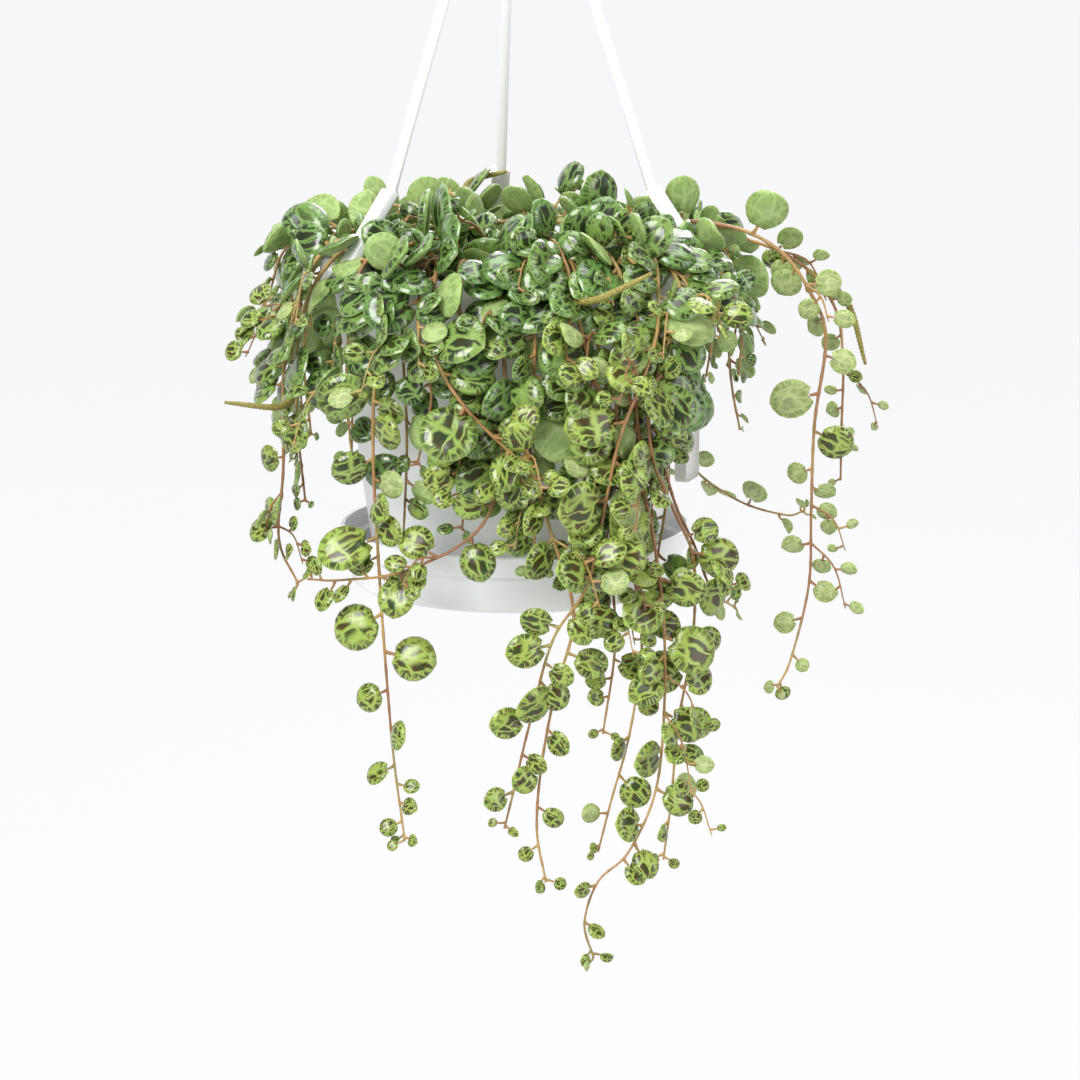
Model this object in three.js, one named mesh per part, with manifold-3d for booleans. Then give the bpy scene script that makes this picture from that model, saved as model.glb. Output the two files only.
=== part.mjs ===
// A string of turtles plant (Peperomia prostrata) in a white plastic hanging pot with a clip-on
// saucer and a three-arm hanger. Millimetres, +Z up, -Y is the front. The origin is the inner crown
// of the hanger's hook, where a rail or a ceiling hook carries the whole thing.
import * as THREE from "three";
import { mergeVertices } from "three/addons/utils/BufferGeometryUtils.js";
import Module from "manifold-3d";

const wasm = await Module();
wasm.setup();

// Driving dimensions. Heights in the pot and the plant are counted from the rim's top face.
const RIM_Z = -195; // the rim's top face, below the hook's inner crown
const RIM_RADIUS = 67;
const LIP_DEPTH = 7; // the rim's lip turns down this far
const WALL_TOP_RADIUS = 63.5;
const WALL_BOTTOM_RADIUS = 49.5;
const WALL = 1.6;
const POT_HEIGHT = 106;
const DRAIN_RADIUS = 4;
const DRAIN_CIRCLE = 22;
const SAUCER_RADIUS = 61;
const SAUCER_TOP = -92;
const SAUCER_BOTTOM = -112;
const SAUCER_WALL = 1.5;
const STAND_RADIUS = 34; // the ring in the saucer that the pot stands on
const SOIL_CENTRE = -8; // height of the soil in the middle
const SOIL_FALL = 6; // how much lower the soil is at the wall
const CLEARANCE = 0.3; // between neighbouring pieces
const HUB_HEIGHT = 155; // the hanger's hub, above the rim
const HUB_RADIUS = 9;
const HUB_DEPTH = 4; // the arms end below the hub
const HOOK_RADIUS = 11; // to the middle of the hook's wire
const HOOK_WIRE = 2;
const ARM_RADIUS = 1.9;
const ARM_WIDTH = 6.5; // the flat paddle at an arm's lower end
const ARM_ANGLES = { left: -54, right: 66, back: 186 };
const STEM_RADIUS = 0.75;
const JOINT_SPACING = 13; // between the leaves on a stem
const LEAF_SMALLEST = 3; // radius: younger leaves than this are left out of the solids
const SPIKE_RADIUS = 1.2;

// A point from its bearing, counted from the front towards +X, its distance from the pot's axis and
// its height over the rim.
function around(bearing, radius, height) {
  const angle = THREE.MathUtils.degToRad(bearing);
  return new THREE.Vector3(
    radius * Math.sin(angle),
    -radius * Math.cos(angle),
    RIM_Z + height,
  );
}

// Materials
const whitePlastic = () =>
  new THREE.MeshStandardMaterial({ color: 0xf1f2f3, roughness: 0.42, metalness: 0 });
const labelPaper = () =>
  new THREE.MeshStandardMaterial({ color: 0xe9e6e2, roughness: 0.7, metalness: 0 });
const soilMix = () =>
  new THREE.MeshStandardMaterial({ color: 0x3a2a1e, roughness: 0.95, metalness: 0 });
const leafGreen = () =>
  new THREE.MeshStandardMaterial({ color: 0x4f7a34, roughness: 0.35, metalness: 0 });

// Solids
function solid(geometry) {
  const bare = geometry.clone();
  bare.deleteAttribute("normal");
  bare.deleteAttribute("uv");
  const merged = mergeVertices(bare, 1e-4);
  return new wasm.Manifold(
    new wasm.Mesh({
      numProp: 3,
      vertProperties: merged.attributes.position.array,
      triVerts: new Uint32Array(merged.index.array),
    }),
  );
}

function geometryOf(body) {
  const made = body.getMesh();
  const geometry = new THREE.BufferGeometry();
  geometry.setAttribute("position", new THREE.BufferAttribute(made.vertProperties, 3));
  geometry.setIndex(new THREE.BufferAttribute(made.triVerts, 1));
  return geometry;
}

function named(name, body, material) {
  const geometry = geometryOf(body);
  geometry.computeVertexNormals();
  const mesh = new THREE.Mesh(geometry, material);
  mesh.name = name;
  return mesh;
}

function union(bodies) {
  return bodies.reduce((whole, body) => whole.add(body));
}

// A profile of [radius, height over the rim] pairs, turned round the pot's axis.
function turned(profile, segments) {
  const points = profile.map(([radius, height]) => new THREE.Vector2(radius, height));
  const geometry = new THREE.LatheGeometry(points, segments);
  geometry.rotateX(Math.PI / 2);
  geometry.translate(0, 0, RIM_Z);
  return solid(geometry);
}

function rod(curve, radius, sides, steps) {
  const corners = Array.from({ length: sides }, (_, i) => {
    const angle = (i / sides) * 2 * Math.PI;
    return new THREE.Vector2(radius * Math.cos(angle), radius * Math.sin(angle));
  });
  const settings = { steps, extrudePath: curve, bevelEnabled: false };
  return solid(new THREE.ExtrudeGeometry(new THREE.Shape(corners), settings));
}

function wallRadius(height) {
  const share = (height + POT_HEIGHT) / POT_HEIGHT;
  return THREE.MathUtils.lerp(WALL_BOTTOM_RADIUS, WALL_TOP_RADIUS, share);
}

function soilHeight(radius) {
  return SOIL_CENTRE - SOIL_FALL * (radius / WALL_TOP_RADIUS) ** 2;
}

// Pot: a tapered shell with a turned-down lip and four drain holes.
function makePot() {
  const floor = -POT_HEIGHT + WALL;
  const shell = turned(
    [
      [0, -POT_HEIGHT],
      [WALL_BOTTOM_RADIUS - 2, -POT_HEIGHT],
      [WALL_BOTTOM_RADIUS, -POT_HEIGHT + 2],
      [wallRadius(-WALL), -WALL],
      [RIM_RADIUS - WALL, -WALL],
      [RIM_RADIUS - WALL, -LIP_DEPTH],
      [RIM_RADIUS, -LIP_DEPTH],
      [RIM_RADIUS, -1],
      [RIM_RADIUS - 1, 0],
      [WALL_TOP_RADIUS - WALL + 0.8, 0],
      [WALL_TOP_RADIUS - WALL, -0.8],
      [wallRadius(floor) - WALL, floor],
      [0, floor],
    ],
    40,
  );
  const drains = [45, 135, 225, 315].map((bearing) => {
    const drill = new THREE.CylinderGeometry(DRAIN_RADIUS, DRAIN_RADIUS, 6, 16);
    drill.rotateX(Math.PI / 2);
    const place = around(bearing, DRAIN_CIRCLE, -POT_HEIGHT);
    return solid(drill.translate(place.x, place.y, place.z));
  });
  return drains.reduce((pot, drill) => pot.subtract(drill), shell);
}

// Saucer: a stepped dish with a rim band and the ring that the pot stands on.
function makeSaucer() {
  const floor = SAUCER_BOTTOM + SAUCER_WALL;
  const step = SAUCER_TOP - 7;
  return turned(
    [
      [0, SAUCER_BOTTOM],
      [SAUCER_RADIUS - 5, SAUCER_BOTTOM],
      [SAUCER_RADIUS - 3.8, SAUCER_BOTTOM + 1],
      [SAUCER_RADIUS - 2.2, step - 0.6],
      [SAUCER_RADIUS - 0.6, step],
      [SAUCER_RADIUS, SAUCER_TOP - 0.5],
      [SAUCER_RADIUS - 0.5, SAUCER_TOP],
      [SAUCER_RADIUS - SAUCER_WALL, SAUCER_TOP],
      [SAUCER_RADIUS - SAUCER_WALL - 0.5, step + 0.6],
      [SAUCER_RADIUS - SAUCER_WALL - 2.2, step],
      [SAUCER_RADIUS - SAUCER_WALL - 3.8, floor],
      [STAND_RADIUS, floor],
      [STAND_RADIUS, -POT_HEIGHT - CLEARANCE],
      [STAND_RADIUS - 3, -POT_HEIGHT - CLEARANCE],
      [STAND_RADIUS - 3, floor],
      [0, floor],
    ],
    40,
  );
}

// Soil: fills the pot, slightly mounded.
function makeSoil() {
  const bottom = -POT_HEIGHT + WALL + CLEARANCE;
  const inset = WALL + CLEARANCE + 0.1;
  const edge = wallRadius(soilHeight(60)) - inset;
  const mound = [1, 0.8, 0.6, 0.4, 0.2, 0].map((share) => [
    share * edge,
    soilHeight(share * edge),
  ]);
  return turned([[0, bottom], [wallRadius(bottom) - inset, bottom], ...mound], 32);
}

// Hanger: a hub with the hook above it, and three arms that clip over the rim's lip.
function makeHook() {
  const centre = HOOK_WIRE - HOOK_RADIUS; // height of the hook's centre
  const hubZ = RIM_Z + HUB_HEIGHT;
  const points = [
    new THREE.Vector3(0, 0, hubZ),
    new THREE.Vector3(0, 0, hubZ + 6),
    new THREE.Vector3(3, 0, hubZ + 13),
  ];
  for (let turn = -30; turn <= 200; turn += 23) {
    const angle = THREE.MathUtils.degToRad(turn);
    const x = HOOK_RADIUS * Math.cos(angle);
    points.push(new THREE.Vector3(x, 0, centre + HOOK_RADIUS * Math.sin(angle)));
  }
  const wire = rod(new THREE.CatmullRomCurve3(points), HOOK_WIRE, 8, 28);
  const hub = turned(
    [
      [0, HUB_HEIGHT - HUB_DEPTH],
      [HUB_RADIUS - 0.5, HUB_HEIGHT - HUB_DEPTH],
      [HUB_RADIUS, HUB_HEIGHT - HUB_DEPTH + 0.5],
      [HUB_RADIUS, HUB_HEIGHT - 1.5],
      [3.6, HUB_HEIGHT + 3],
      [2.4, HUB_HEIGHT + 7],
      [0, HUB_HEIGHT + 7],
    ],
    24,
  );
  return wire.add(hub);
}

// An arm is drawn in the plane of X and Z and turned to its bearing. The paddle slants out to the
// lip, runs down outside it and reaches under it with a small toe.
function makeArm(bearing) {
  const top = new THREE.Vector3(6, 0, RIM_Z + HUB_HEIGHT - HUB_DEPTH - CLEARANCE - 0.8);
  const knee = new THREE.Vector3(51, 0, RIM_Z + 25);
  const bow = top.clone().lerp(knee, 0.5).add(new THREE.Vector3(1.2, 0, 0.5));
  const spoke = rod(new THREE.QuadraticBezierCurve3(top, bow, knee), ARM_RADIUS, 8, 6);
  const inside = RIM_RADIUS + CLEARANCE;
  const toe = -LIP_DEPTH - CLEARANCE;
  const outline = new THREE.Shape();
  outline.moveTo(49.4, 25.4);
  outline.lineTo(52.4, 27.4);
  outline.lineTo(inside + 2.4, 3.5);
  outline.lineTo(inside + 2.6, 0);
  outline.lineTo(inside + 2.2, toe - 2.2);
  outline.lineTo(inside - 1.2, toe - 1.8);
  outline.lineTo(inside - 1.2, toe);
  outline.lineTo(inside, toe);
  outline.lineTo(inside, 1);
  outline.lineTo(inside - 1, 2.4);
  outline.closePath();
  const settings = { depth: ARM_WIDTH, bevelEnabled: false };
  const paddle = new THREE.ExtrudeGeometry(outline, settings);
  paddle.translate(0, 0, -ARM_WIDTH / 2);
  paddle.rotateX(Math.PI / 2);
  paddle.translate(0, 0, RIM_Z);
  return spoke.add(solid(paddle)).rotate([0, 0, bearing - 90]);
}

// Care label: a blank card with round corners, standing off the pot's wall.
function makeLabel() {
  const width = 15;
  const height = 24;
  const corner = 2.5;
  const x = width / 2 - corner;
  const y = height / 2 - corner;
  const outline = new THREE.Shape();
  outline.absarc(x, y, corner, 0, Math.PI / 2);
  outline.absarc(-x, y, corner, Math.PI / 2, Math.PI);
  outline.absarc(-x, -y, corner, Math.PI, 1.5 * Math.PI);
  outline.absarc(x, -y, corner, 1.5 * Math.PI, 2 * Math.PI);
  const settings = { depth: 0.8, bevelEnabled: false, curveSegments: 3 };
  const card = new THREE.ExtrudeGeometry(outline, settings);
  const place = new THREE.Object3D();
  place.position.copy(around(70, 62.2, -61));
  place.up.set(0, 0, 1);
  place.lookAt(around(70, 100, -61));
  place.updateMatrix();
  return solid(card.applyMatrix4(place.matrix));
}

// Plant. A strand's route runs from the soil over the rim: its first entry gives the bearing and the
// distance from the axis where it leaves the soil, and the others are places as around() takes them.
// A spike is a flower stalk, whose first place is on the strand's stem.
const TRAILS = [
  {
    name: "left_short",
    leaf: 8,
    route: [
      [-93, 32], [-92, 54, 9], [-91, 70, 9], [-92, 80, 2], [-93, 85, -12],
    ],
  },
  {
    name: "left",
    leaf: 8.5,
    route: [
      [-72, 34], [-71, 54, 9], [-69, 72, 2], [-66, 84, -28], [-65, 86, -66], [-69, 86, -92],
      [-58, 86, -104],
    ],
  },
  {
    name: "front_left",
    leaf: 9,
    route: [
      [-38, 30], [-37, 53, 10], [-35, 71, 4], [-32, 80, -8], [-33, 84, -44], [-31, 86, -90],
      [-28, 86, -150], [-25, 86, -184],
    ],
  },
  {
    name: "front_sweep",
    leaf: 8,
    route: [
      [-7, 40], [-6, 56, 8], [-4, 71, 2], [-2, 79, -38], [-6, 84, -74], [-22, 88, -91],
      [-38, 91, -97], [-48, 92, -99],
    ],
  },
  {
    name: "front_cross",
    leaf: 8.5,
    route: [
      [38, 24], [39, 51, 12], [40, 70, 8], [36, 80, -4], [32, 87, -16], [27, 90, -31],
      [22, 91, -48], [19, 92, -67], [15, 92, -95], [8, 91, -113], [3, 88, -144], [0, 88, -164],
      [-2, 88, -177],
    ],
  },
  {
    name: "front_slant",
    leaf: 9,
    route: [
      [-24, 36], [-23, 55, 9], [-21, 70, 4], [-18, 82, -20], [-10, 86, -38], [3, 87, -58],
      [8, 87, -78], [13, 87, -106], [9, 87, -131], [6, 87, -156], [5, 87, -178], [7, 87, -196],
    ],
  },
  {
    name: "middle",
    leaf: 8,
    route: [
      [24, 30], [24, 53, 10], [24, 70, 3], [25, 79, -30], [23, 81, -83], [24, 82, -117],
      [21, 82, -148],
    ],
  },
  {
    name: "bundle",
    leaf: 8.5,
    route: [
      [29, 40], [29, 56, 8], [29, 71, 3], [28, 79, -15], [30, 81, -50], [28, 82, -85],
      [31, 82, -118], [28, 82, -148], [23, 82, -172], [20, 82, -188],
    ],
  },
  {
    name: "longest",
    leaf: 9,
    route: [
      [12, 30], [13, 52, 12], [14, 71, 6], [15, 79, -8], [18, 84, -29], [23, 85, -49],
      [29, 86, -66], [32, 87, -85], [34, 88, -110], [34, 89, -137], [32, 89, -167], [25, 90, -187],
      [18, 90, -196], [15, 90, -210], [17, 90, -222],
    ],
  },
  {
    name: "front_right",
    leaf: 8.5,
    route: [
      [49, 30], [47, 52, 11], [45, 71, 5], [42, 82, -8], [36, 82, -24], [32, 83, -40],
      [32, 86, -57], [37, 87, -74], [43, 87, -92], [43, 87, -119], [39, 87, -146], [37, 87, -173],
      [35, 87, -193],
    ],
  },
  {
    name: "right_low",
    leaf: 7.5,
    route: [
      [59, 38], [56, 55, 8], [50, 71, 3], [42, 78, -14], [38, 79, -32], [37, 80, -52],
      [40, 82, -72], [46, 83, -88], [52, 84, -105], [62, 85, -114],
    ],
  },
  {
    name: "right_long",
    leaf: 9,
    facing: 165,
    route: [
      [82, 26], [81, 52, 12], [78, 74, 13], [75, 92, 6], [75, 103, -8], [77, 108, -24],
      [73, 106, -52], [74, 105, -82], [73, 105, -108], [67, 102, -132], [63, 100, -140],
    ],
  },
  {
    name: "right_outer",
    leaf: 6,
    facing: 150,
    route: [
      [92, 34], [91, 54, 9], [89, 76, 8], [87, 98, -1], [86, 110, -16], [85, 113, -34],
      [86, 113, -56], [86, 113, -76],
    ],
  },
  {
    name: "back_right",
    leaf: 6,
    route: [
      [118, 36], [118, 56, 8], [117, 74, 2], [116, 82, -14], [115, 85, -48], [114, 88, -66],
    ],
  },
  {
    name: "back_sweep",
    leaf: 7.5,
    route: [
      [146, 30], [144, 54, 10], [142, 74, 3], [138, 80, -38], [133, 84, -78], [121, 92, -93],
      [110, 103, -97], [105, 107, -94],
    ],
  },
];

// Shorter strands hang all round the rim: their bearing and how far they fall.
const SKIRT = [
  [-84, 50], [-78, 66], [-62, 78], [-46, 62], [-29, 84], [-25, 58], [-15, 80], [1, 70], [12, 96],
  [36, 104], [56, 34], [73, 36], [99, 30], [106, 40], [112, 30], [126, 54], [134, 84], [153, 70],
  [161, 104], [170, 92], [177, 118], [195, 96], [204, 112], [213, 88], [222, 60], [232, 78],
  [243, 52], [256, 64], [17, 104], [6, 92],
];

// Strands that stay on top: their bearing and how far out they reach.
const CROWN = [[-50, 46], [-22, 47], [66, 40], [105, 52], [158, 54], [207, 52], [247, 55]];

// Flower spikes: thin stalks, each from a joint of a strand's stem through the places in its route.
const SPIKES = [
  { strand: "skirt_03", joint: 6, route: [[-57, 92, -43], [-58, 112, -40]] },
  { strand: "longest", joint: 5, route: [[18, 90, -2], [27, 97, 6]] },
  { strand: "skirt_12", joint: 3, route: [[48, 87, -13], [34, 88, -17]] },
  { strand: "right_outer", joint: 6, route: [[87, 114, -14], [88, 121, -36]] },
  { strand: "crown_6", joint: 3, route: [[200, 48, 22], [184, 44, 26]] },
];

// The same seeds give the same plant every time.
function dice(seed) {
  let state = (seed * 2654435761) >>> 0;
  return () => {
    state = (state + 0x6d2b79f5) >>> 0;
    let t = Math.imul(state ^ (state >>> 15), state | 1);
    t ^= t + Math.imul(t ^ (t >>> 7), t | 61);
    return ((t ^ (t >>> 14)) >>> 0) / 4294967296;
  };
}

function strands() {
  const skirt = SKIRT.map(([bearing, fall], i) => {
    const roll = dice(100 + i);
    const sway = 20 * (roll() - 0.5);
    const out = 74 + 2.6 * (i % 3);
    const route = [
      [bearing, 50],
      [bearing, 60, 6],
      [bearing, 70, 2.5],
      [bearing + 0.4 * sway, out, -15],
      [bearing + sway, out + 1, -0.6 * fall],
      [bearing + 0.3 * sway, out, -fall],
    ];
    return { name: `skirt_${String(i + 1).padStart(2, "0")}`, leaf: 9, route };
  });
  const crown = CROWN.map(([bearing, reach], i) => {
    const route = [
      [bearing, 14],
      [bearing, 22, 6],
      [bearing, 0.5 * (22 + reach), 15],
      [bearing, reach, 18],
    ];
    return { name: `crown_${i + 1}`, leaf: 8.5, route };
  });
  return [...TRAILS, ...skirt, ...crown];
}

function routeCurve(route) {
  const points = route.map(([bearing, radius, height]) =>
    around(bearing, radius, height ?? soilHeight(radius) + CLEARANCE + 0.1),
  );
  return new THREE.CatmullRomCurve3(points, false, "catmullrom", 0.5);
}

// Leaves alternate at the stem's joints and turn their upper side outwards and up, or towards the
// bearing that the strand is facing.
function leafPlaces(strand, curve, steps, seed) {
  const joints = curve.getSpacedPoints(steps);
  const roll = dice(1000 + seed);
  const places = [];
  for (let i = 1; i < steps; i++) {
    const share = i / steps;
    const stem = joints[i];
    const along = joints[i + 1].clone().sub(joints[i - 1]).normalize();
    const outward = strand.facing ? around(strand.facing, 1, 0) : stem.clone();
    const light = outward.setZ(0).setLength(0.8).add(new THREE.Vector3(0, 0, 0.4));
    const jitter = new THREE.Vector3(roll() - 0.5, roll() - 0.5, roll() - 0.5);
    const lean = -(0.3 + 0.5 * Math.abs(along.z)) * light.dot(along);
    const up = light.addScaledVector(along, lean).add(jitter).normalize();
    const side = new THREE.Vector3().crossVectors(along, up).normalize();
    side.multiplyScalar(i % 2 ? 1 : -1).addScaledVector(along, 0.2 + 0.5 * roll());
    side.addScaledVector(up, 0.15 + 0.3 * roll()).normalize();
    const face = up.addScaledVector(side, -up.dot(side)).normalize();
    const radius = strand.leaf * (1 - 0.65 * share ** 4) * (0.62 + 0.48 * roll());
    const stalk = 1.5 + 1.5 * roll();
    places.push({ stem, side, face, radius, stalk });
  }
  return places.filter((place) => place.radius > LEAF_SMALLEST);
}

// One leaf with its stalk: a five-cornered lens from the stem to the leaf's tip.
function makeLeaf({ stem, side, face, radius, stalk }, margin) {
  const reach = radius + 0.5 * stalk;
  const across = new THREE.Vector3().crossVectors(face, side);
  const middle = stem.clone().addScaledVector(side, reach);
  const frame = new THREE.Matrix4().makeBasis(side, across, face).setPosition(middle);
  const lens = new THREE.SphereGeometry(1, 5, 2).rotateX(Math.PI / 2);
  lens.scale(reach + 0.3 + margin, radius + margin, 0.9 + 0.06 * radius + margin);
  return solid(lens.applyMatrix4(frame));
}

function boxesMeet(a, b) {
  return [0, 1, 2].every((i) => a.min[i] <= b.max[i] && b.min[i] <= a.max[i]);
}

function clear(body, others) {
  const box = body.boundingBox();
  return others.every(
    (other) => !boxesMeet(box, other.box) || body.intersect(other.body).volume() < 1e-6,
  );
}

const boxed = (body) => ({ body, box: body.boundingBox() });

// Stems come first and then leaves, one round of strands at a time, each only where it is clear.
function makePlant(hardware) {
  const all = strands().map((strand, seed) => {
    const curve = routeCurve(strand.route);
    const steps = Math.round(curve.getLength() / JOINT_SPACING);
    let stem = rod(curve, STEM_RADIUS, 4, steps);
    for (const spike of SPIKES.filter((spike) => spike.strand === strand.name)) {
      const root = curve.getSpacedPoints(steps)[spike.joint];
      const points = [root, ...spike.route.map((place) => around(...place))];
      stem = stem.add(rod(new THREE.CatmullRomCurve3(points), SPIKE_RADIUS, 4, 4));
    }
    const places = leafPlaces(strand, curve, steps, seed);
    return { name: strand.name, stem: boxed(stem), leaves: [], places };
  });
  const most = Math.max(...all.map((strand) => strand.places.length));
  for (let turn = 0; turn < most; turn++) {
    for (const strand of all.filter(({ places }) => places[turn])) {
      const probe = makeLeaf(strand.places[turn], CLEARANCE);
      const others = all.filter((other) => other !== strand);
      const near = others.flatMap((other) => [other.stem, ...other.leaves]);
      if (clear(probe, [...hardware, ...near])) {
        strand.leaves.push(boxed(makeLeaf(strand.places[turn], 0)));
      }
    }
  }
  return all.map(({ name, stem, leaves }) => ({
    name,
    body: union([stem.body, ...leaves.map((leaf) => leaf.body)]),
  }));
}

const pot = makePot();
const saucer = makeSaucer();
const soil = makeSoil();
const hook = makeHook();
const label = makeLabel();
const arms = Object.entries(ARM_ANGLES).map(([side, bearing]) => ({
  name: `hanger_arm_${side}`,
  body: makeArm(bearing),
}));
const hardware = [pot, saucer, soil, label, ...arms.map((arm) => arm.body)].map(boxed);

const plant = new THREE.Group();
for (const { name, body } of makePlant(hardware)) {
  plant.add(named(`strand_${name}`, body, leafGreen()));
}

const hanger = new THREE.Group();
hanger.add(named("hanger_hook", hook, whitePlastic()));
for (const { name, body } of arms) {
  hanger.add(named(name, body, whitePlastic()));
}

const hangingPlant = new THREE.Group();
hangingPlant.add(
  named("pot", pot, whitePlastic()),
  named("saucer", saucer, whitePlastic()),
  named("soil", soil, soilMix()),
  named("care_label", label, labelPaper()),
  hanger,
  plant,
);

export default hangingPlant;
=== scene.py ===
# A string of turtles in a white plastic hanging pot: the looks of every piece, built round the packed
# model. The plant's strands follow the same routes as its solids, with a leaf at every joint, and have
# more leaves between the joints, side shoots and leafy tips.
import itertools
import math

import bpy
import numpy as np
from mathutils import Matrix, Vector


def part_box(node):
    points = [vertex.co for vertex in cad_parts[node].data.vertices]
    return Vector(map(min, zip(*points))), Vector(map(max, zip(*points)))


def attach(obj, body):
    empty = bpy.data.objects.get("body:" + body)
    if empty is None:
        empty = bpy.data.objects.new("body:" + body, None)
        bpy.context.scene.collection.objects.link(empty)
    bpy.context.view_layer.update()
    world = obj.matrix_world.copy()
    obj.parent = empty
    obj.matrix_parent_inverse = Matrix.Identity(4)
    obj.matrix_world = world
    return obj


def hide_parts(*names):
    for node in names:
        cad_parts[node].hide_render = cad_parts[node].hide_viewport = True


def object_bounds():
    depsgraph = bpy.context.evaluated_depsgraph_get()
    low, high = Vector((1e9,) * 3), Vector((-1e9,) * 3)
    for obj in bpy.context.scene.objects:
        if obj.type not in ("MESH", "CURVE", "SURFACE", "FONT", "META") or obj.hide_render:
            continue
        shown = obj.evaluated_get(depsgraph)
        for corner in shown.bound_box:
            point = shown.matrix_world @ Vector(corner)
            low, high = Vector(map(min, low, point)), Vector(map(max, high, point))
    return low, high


bl_info = {
    "name": "Hanging String of Turtles",
    "version": (1, 0, 0),
    "blender": (4, 5, 0),
    "location": "View3D > Sidebar > Turtles",
    "description": "A trailing string of turtles in a hanging pot, with its hanger and soil",
    "category": "Add Mesh",
}

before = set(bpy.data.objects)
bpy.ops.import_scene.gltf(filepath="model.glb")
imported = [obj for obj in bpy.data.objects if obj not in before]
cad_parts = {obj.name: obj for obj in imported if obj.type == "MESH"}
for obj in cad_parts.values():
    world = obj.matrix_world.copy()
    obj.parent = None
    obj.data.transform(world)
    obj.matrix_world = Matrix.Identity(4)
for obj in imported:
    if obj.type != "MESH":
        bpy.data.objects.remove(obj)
CAD_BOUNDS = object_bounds()
BODY = "root"
MM = 0.001

RIM_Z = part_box("pot")[1].z
RIM_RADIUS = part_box("pot")[1].y
POT_HEIGHT = RIM_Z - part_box("pot")[0].z
SAUCER_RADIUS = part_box("saucer")[1].y
SAUCER_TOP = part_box("saucer")[1].z
SAUCER_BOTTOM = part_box("saucer")[0].z
HUB_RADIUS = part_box("hanger_hook")[1].y
ARM_BEARINGS = {"left": -54, "right": 66, "back": 186}


# ------------------------------------------------------------------------------------- settings


def number_setting(name, about, default, **kind):
    return bpy.props.FloatProperty(name=name, description=about, default=default, **kind)


def length_setting(name, about, default):
    return number_setting(name, about, default, unit="LENGTH")


def angle_setting(name, about, default):
    return number_setting(name, about, default, subtype="ANGLE")


def colour_setting(name, about, default):
    return bpy.props.FloatVectorProperty(name=name, description=about, default=default, subtype="COLOR")


class TurtlesPot(bpy.types.PropertyGroup):
    wall: length_setting("Wall", "Thickness of the pot's wall", 1.6 * MM)
    wall_top: length_setting("Top radius", "Radius of the wall below the lip", 63.5 * MM)
    wall_bottom: length_setting("Bottom radius", "Radius of the wall at the floor", 49.5 * MM)
    lip_depth: length_setting("Lip depth", "How far the lip turns down", 7 * MM)
    band: length_setting("Saucer band", "Height of the saucer's rim band", 7 * MM)
    stand: length_setting("Stand radius", "Radius of the ring that carries the pot", 34 * MM)
    plastic: colour_setting("Plastic", "Colour of the white plastic", (0.86, 0.87, 0.885))
    card: colour_setting("Card", "Colour of the blank care label", (0.72, 0.70, 0.68))


class TurtlesPlant(bpy.types.PropertyGroup):
    joint_spacing: length_setting("Joint spacing", "Distance between the main joints of a stem", 13 * MM)
    stem_radius: length_setting("Stem radius", "Radius of a stem where it leaves the soil", 0.75 * MM)
    spike_radius: length_setting("Spike radius", "Radius of a flower spike", 1.2 * MM)
    leaf_smallest: length_setting("Smallest leaf", "Radius of the leaves at a tip", 1.5 * MM)
    young_vein: colour_setting("Young veins", "Vein colour of young leaves", (0.31, 0.42, 0.08))
    old_vein: colour_setting("Old veins", "Vein colour of old leaves", (0.14, 0.27, 0.065))
    young_cell: colour_setting("Young cells", "Cell colour of young leaves", (0.026, 0.056, 0.010))
    old_cell: colour_setting("Old cells", "Cell colour of old leaves", (0.009, 0.025, 0.008))
    underside: colour_setting("Underside", "Colour below the leaves", (0.31, 0.40, 0.13))
    stem_red: colour_setting("Old stem", "Stem colour near the soil", (0.30, 0.14, 0.055))
    stem_gold: colour_setting("Young stem", "Stem colour towards the tip", (0.48, 0.31, 0.10))
    spike: colour_setting("Spike", "Colour of the flower spikes", (0.40, 0.34, 0.08))
    soil: colour_setting("Soil", "Colour of the potting mix", (0.045, 0.028, 0.018))


class TurtlesStage(bpy.types.PropertyGroup):
    distance: length_setting("Distance", "From the pot's axis to the camera", 1.1)
    height: length_setting("Height", "Of the camera above the rim", 0.135)
    aside: length_setting("Aside", "Of the camera from the pot's axis", 0.0086)
    pitch: angle_setting("Pitch", "Downward tilt of the camera", math.radians(12))
    lens: number_setting("Lens", "Focal length in millimetres", 107)
    floor: colour_setting(
        "Floor", "What the glowing floor adds in the lamps' light", (0.016, 0.016, 0.016)
    )
    glow: number_setting("Glow", "Light that the floor gives off by itself", 0.93)
    fill: number_setting("Fill", "Light from all round", 0.24)


# ---------------------------------------------------------------------------------- mesh helpers


def deselect():
    if bpy.context.object and bpy.context.object.mode != "OBJECT":
        bpy.ops.object.mode_set(mode="OBJECT")
    bpy.ops.object.select_all(action="DESELECT")


def settle(piece):
    """Puts the piece's place into its mesh, so that its object sits unturned at the origin."""
    deselect()
    piece.select_set(True)
    bpy.context.view_layer.objects.active = piece
    bpy.ops.object.transform_apply(location=True, rotation=True, scale=True)
    return piece


def joined(pieces, name):
    deselect()
    for piece in pieces:
        piece.select_set(True)
    bpy.context.view_layer.objects.active = pieces[0]
    if len(pieces) > 1:
        bpy.ops.object.join()
    whole = bpy.context.object
    whole.name = name
    whole.data.name = name
    return whole


def smooth(piece, degrees):
    deselect()
    piece.select_set(True)
    bpy.context.view_layer.objects.active = piece
    bpy.ops.object.shade_smooth_by_angle(angle=math.radians(degrees))


def applied(piece, kind, **settings):
    """Adds a modifier, sets it up and applies it."""
    modifier = piece.modifiers.new(kind.title(), kind)
    for key, value in settings.items():
        setattr(modifier, key, value)
    deselect()
    piece.select_set(True)
    bpy.context.view_layer.objects.active = piece
    bpy.ops.object.modifier_apply(modifier=modifier.name)


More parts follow.
